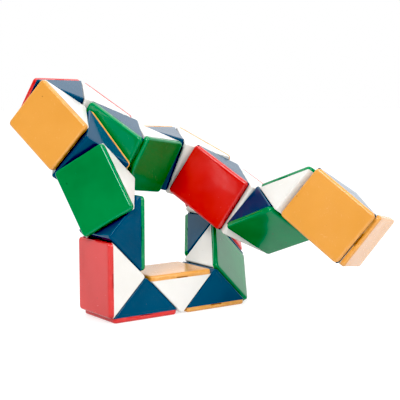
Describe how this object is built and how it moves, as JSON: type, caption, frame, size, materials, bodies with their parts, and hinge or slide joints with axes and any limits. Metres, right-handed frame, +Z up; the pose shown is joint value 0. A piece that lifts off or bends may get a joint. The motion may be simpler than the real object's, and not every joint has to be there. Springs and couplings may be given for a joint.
{
  "type": "twisty snake puzzle",
  "caption": "Chain of hollow triangular wedges, white and blue in turn with coloured caps, each pair joined by a sprung screw pivot and twisted into a crossed free-standing shape.",
  "frame": {"origin": "middle of the outer face of wedge 18's cap, the face the puzzle stands on", "axes": "+Z up, +X along the row of base wedges from the red cap towards the yellow cap, +Y to the back, along the right-angled edge of the base wedge"},
  "size_m": [0.1012, 0.1095, 0.0783],
  "materials": {
    "white_plastic": "glossy",
    "blue_plastic": "glossy",
    "yellow_plastic": "glossy",
    "green_plastic": "glossy",
    "red_plastic": "glossy",
    "steel": "zinc plated"
  },
  "bodies": {
    "link_01": {"wedge_01": "white_plastic", "cap_01": "yellow_plastic", "pivots_01": "steel"},
    "link_02": {"wedge_02": "blue_plastic", "cap_02": "yellow_plastic"},
    "link_03": {"wedge_03": "white_plastic", "cap_03": "green_plastic", "pivots_03": "steel"},
    "link_04": {"wedge_04": "blue_plastic", "cap_04": "green_plastic"},
    "link_05": {"wedge_05": "white_plastic", "cap_05": "red_plastic", "pivots_05": "steel"},
    "link_06": {"wedge_06": "blue_plastic", "cap_06": "red_plastic"},
    "link_07": {"wedge_07": "white_plastic", "cap_07": "yellow_plastic", "pivots_07": "steel"},
    "link_08": {"wedge_08": "blue_plastic", "cap_08": "yellow_plastic"},
    "link_09": {"wedge_09": "white_plastic", "cap_09": "green_plastic", "pivots_09": "steel"},
    "link_10": {"wedge_10": "blue_plastic", "cap_10": "green_plastic"},
    "link_11": {"wedge_11": "white_plastic", "cap_11": "red_plastic", "pivots_11": "steel"},
    "link_12": {"wedge_12": "blue_plastic", "cap_12": "red_plastic"},
    "link_13": {"wedge_13": "white_plastic", "cap_13": "yellow_plastic", "pivots_13": "steel"},
    "link_14": {"wedge_14": "blue_plastic", "cap_14": "yellow_plastic"},
    "link_15": {"wedge_15": "white_plastic", "cap_15": "green_plastic", "pivots_15": "steel"},
    "link_16": {"wedge_16": "blue_plastic", "cap_16": "green_plastic"},
    "link_17": {"wedge_17": "white_plastic", "cap_17": "red_plastic", "pivots_17": "steel"},
    "link_18": {"wedge_18": "blue_plastic", "cap_18": "red_plastic"},
    "link_19": {"wedge_19": "white_plastic", "cap_19": "yellow_plastic", "pivots_19": "steel"},
    "link_20": {"wedge_20": "blue_plastic", "cap_20": "yellow_plastic"},
    "link_21": {"wedge_21": "white_plastic", "cap_21": "green_plastic", "pivots_21": "steel"},
    "link_22": {"wedge_22": "blue_plastic", "cap_22": "green_plastic"},
    "link_23": {"wedge_23": "white_plastic", "cap_23": "red_plastic", "pivots_23": "steel"},
    "link_24": {"wedge_24": "blue_plastic", "cap_24": "red_plastic"}
  },
  "joints": [
    {"name": "twist_18_19", "type": "hinge", "parent": "link_18", "child": "link_19", "pos_m": [0.00707, 0, 0.00692], "axis": [0.7071, 0, 0.7071], "range_deg": [-12, 25]},
    {"name": "twist_19_20", "type": "hinge", "parent": "link_19", "child": "link_20", "pos_m": [0.02121, 0, 0.00692], "axis": [0.7071, 0, -0.7071], "range_deg": [-245, 0]},
    {"name": "twist_20_21", "type": "hinge", "parent": "link_20", "child": "link_21", "pos_m": [0.03535, 0, 0.00692], "axis": [0.7071, 0, 0.7071], "range_deg": [-104, 8]},
    {"name": "twist_21_22", "type": "hinge", "parent": "link_21", "child": "link_22", "pos_m": [0.0423, 0.01, 0.01412], "axis": [-0.0123, 0.9998, 0.0123], "range_deg": [-12, 272]},
    {"name": "twist_22_23", "type": "hinge", "parent": "link_22", "child": "link_23", "pos_m": [0.04949, 0.02, 0.02106], "axis": [0.7314, 0.0006, 0.682], "range_deg": [-205, 35]},
    {"name": "twist_23_24", "type": "hinge", "parent": "link_23", "child": "link_24", "pos_m": [0.05562, 0.02986, 0.02915], "axis": [-0.1189, 0.9848, 0.1266], "continuous": true},
    {"name": "twist_17_18", "type": "hinge", "parent": "link_18", "child": "link_17", "pos_m": [-0.00707, 0, 0.00692], "axis": [-0.7071, 0, 0.7071], "range_deg": [-277, 0.5]},
    {"name": "twist_16_17", "type": "hinge", "parent": "link_17", "child": "link_16", "pos_m": [-0.00707, 0, 0.02106], "axis": [0.7071, 0, 0.7071], "range_deg": [-22, 6]},
    {"name": "twist_15_16", "type": "hinge", "parent": "link_16", "child": "link_15", "pos_m": [-0.00707, 0, 0.03521], "axis": [-0.7071, 0, 0.7071], "range_deg": [-61, 0]},
    {"name": "twist_14_15", "type": "hinge", "parent": "link_15", "child": "link_14", "pos_m": [-0.00932, 0.00731, 0.0471], "axis": [0.4822, 0.7314, 0.4822], "range_deg": [-7, 0]},
    {"name": "twist_13_14", "type": "hinge", "parent": "link_14", "child": "link_13", "pos_m": [-0.01267, 0.01639, 0.05741], "axis": [-0.8169, 0.1765, 0.5492], "range_deg": [-3, 0]},
    {"name": "twist_12_13", "type": "hinge", "parent": "link_13", "child": "link_12", "pos_m": [-0.01664, 0.0265, 0.06647], "axis": [0.42, 0.8346, 0.3564], "range_deg": [0, 0.5]},
    {"name": "twist_11_12", "type": "hinge", "parent": "link_12", "child": "link_11", "pos_m": [-0.00362, 0.03204, 0.06623], "axis": [0.8812, -0.2811, -0.38], "range_deg": [-1.5, 0]},
    {"name": "twist_10_11", "type": "hinge", "parent": "link_11", "child": "link_10", "pos_m": [0.00107, 0.02072, 0.05917], "axis": [-0.4121, -0.8507, -0.3264], "range_deg": [-1.5, 0]},
    {"name": "twist_09_10", "type": "hinge", "parent": "link_10", "child": "link_09", "pos_m": [0.00572, 0.00948, 0.05195], "axis": [0.8771, -0.2733, -0.3951], "range_deg": [-4, 32]},
    {"name": "twist_08_09", "type": "hinge", "parent": "link_09", "child": "link_08", "pos_m": [0.01828, 0.01574, 0.0502], "axis": [0.379, 0.899, 0.2193], "range_deg": [-9, 1.5]},
    {"name": "twist_07_08", "type": "hinge", "parent": "link_08", "child": "link_07", "pos_m": [0.03113, 0.0216, 0.04956], "axis": [0.9065, -0.313, -0.2834], "range_deg": [-167, 0.5]},
    {"name": "twist_06_07", "type": "hinge", "parent": "link_07", "child": "link_06", "pos_m": [0.03623, 0.00985, 0.04356], "axis": [-0.3964, -0.8621, -0.3157], "range_deg": [-6, 30]},
    {"name": "twist_05_06", "type": "hinge", "parent": "link_06", "child": "link_05", "pos_m": [0.04095, -0.00116, 0.03605], "axis": [0.8675, -0.239, -0.4363], "range_deg": [-33, 17]},
    {"name": "twist_04_05", "type": "hinge", "parent": "link_05", "child": "link_04", "pos_m": [0.04571, -0.01225, 0.02867], "axis": [-0.391, -0.8698, -0.3009], "range_deg": [-129, 66]},
    {"name": "twist_03_04", "type": "hinge", "parent": "link_04", "child": "link_03", "pos_m": [0.04605, -0.02556, 0.03345], "axis": [0.4253, -0.4607, 0.779], "range_deg": [-33, 13]},
    {"name": "twist_02_03", "type": "hinge", "parent": "link_03", "child": "link_02", "pos_m": [0.04683, -0.03894, 0.03795], "axis": [-0.3478, -0.8778, -0.3293], "range_deg": [-32, 1]},
    {"name": "twist_01_02", "type": "hinge", "parent": "link_02", "child": "link_01", "pos_m": [0.05178, -0.04911, 0.02946], "axis": [0.8429, -0.1389, -0.5199], "continuous": true}
  ]
}
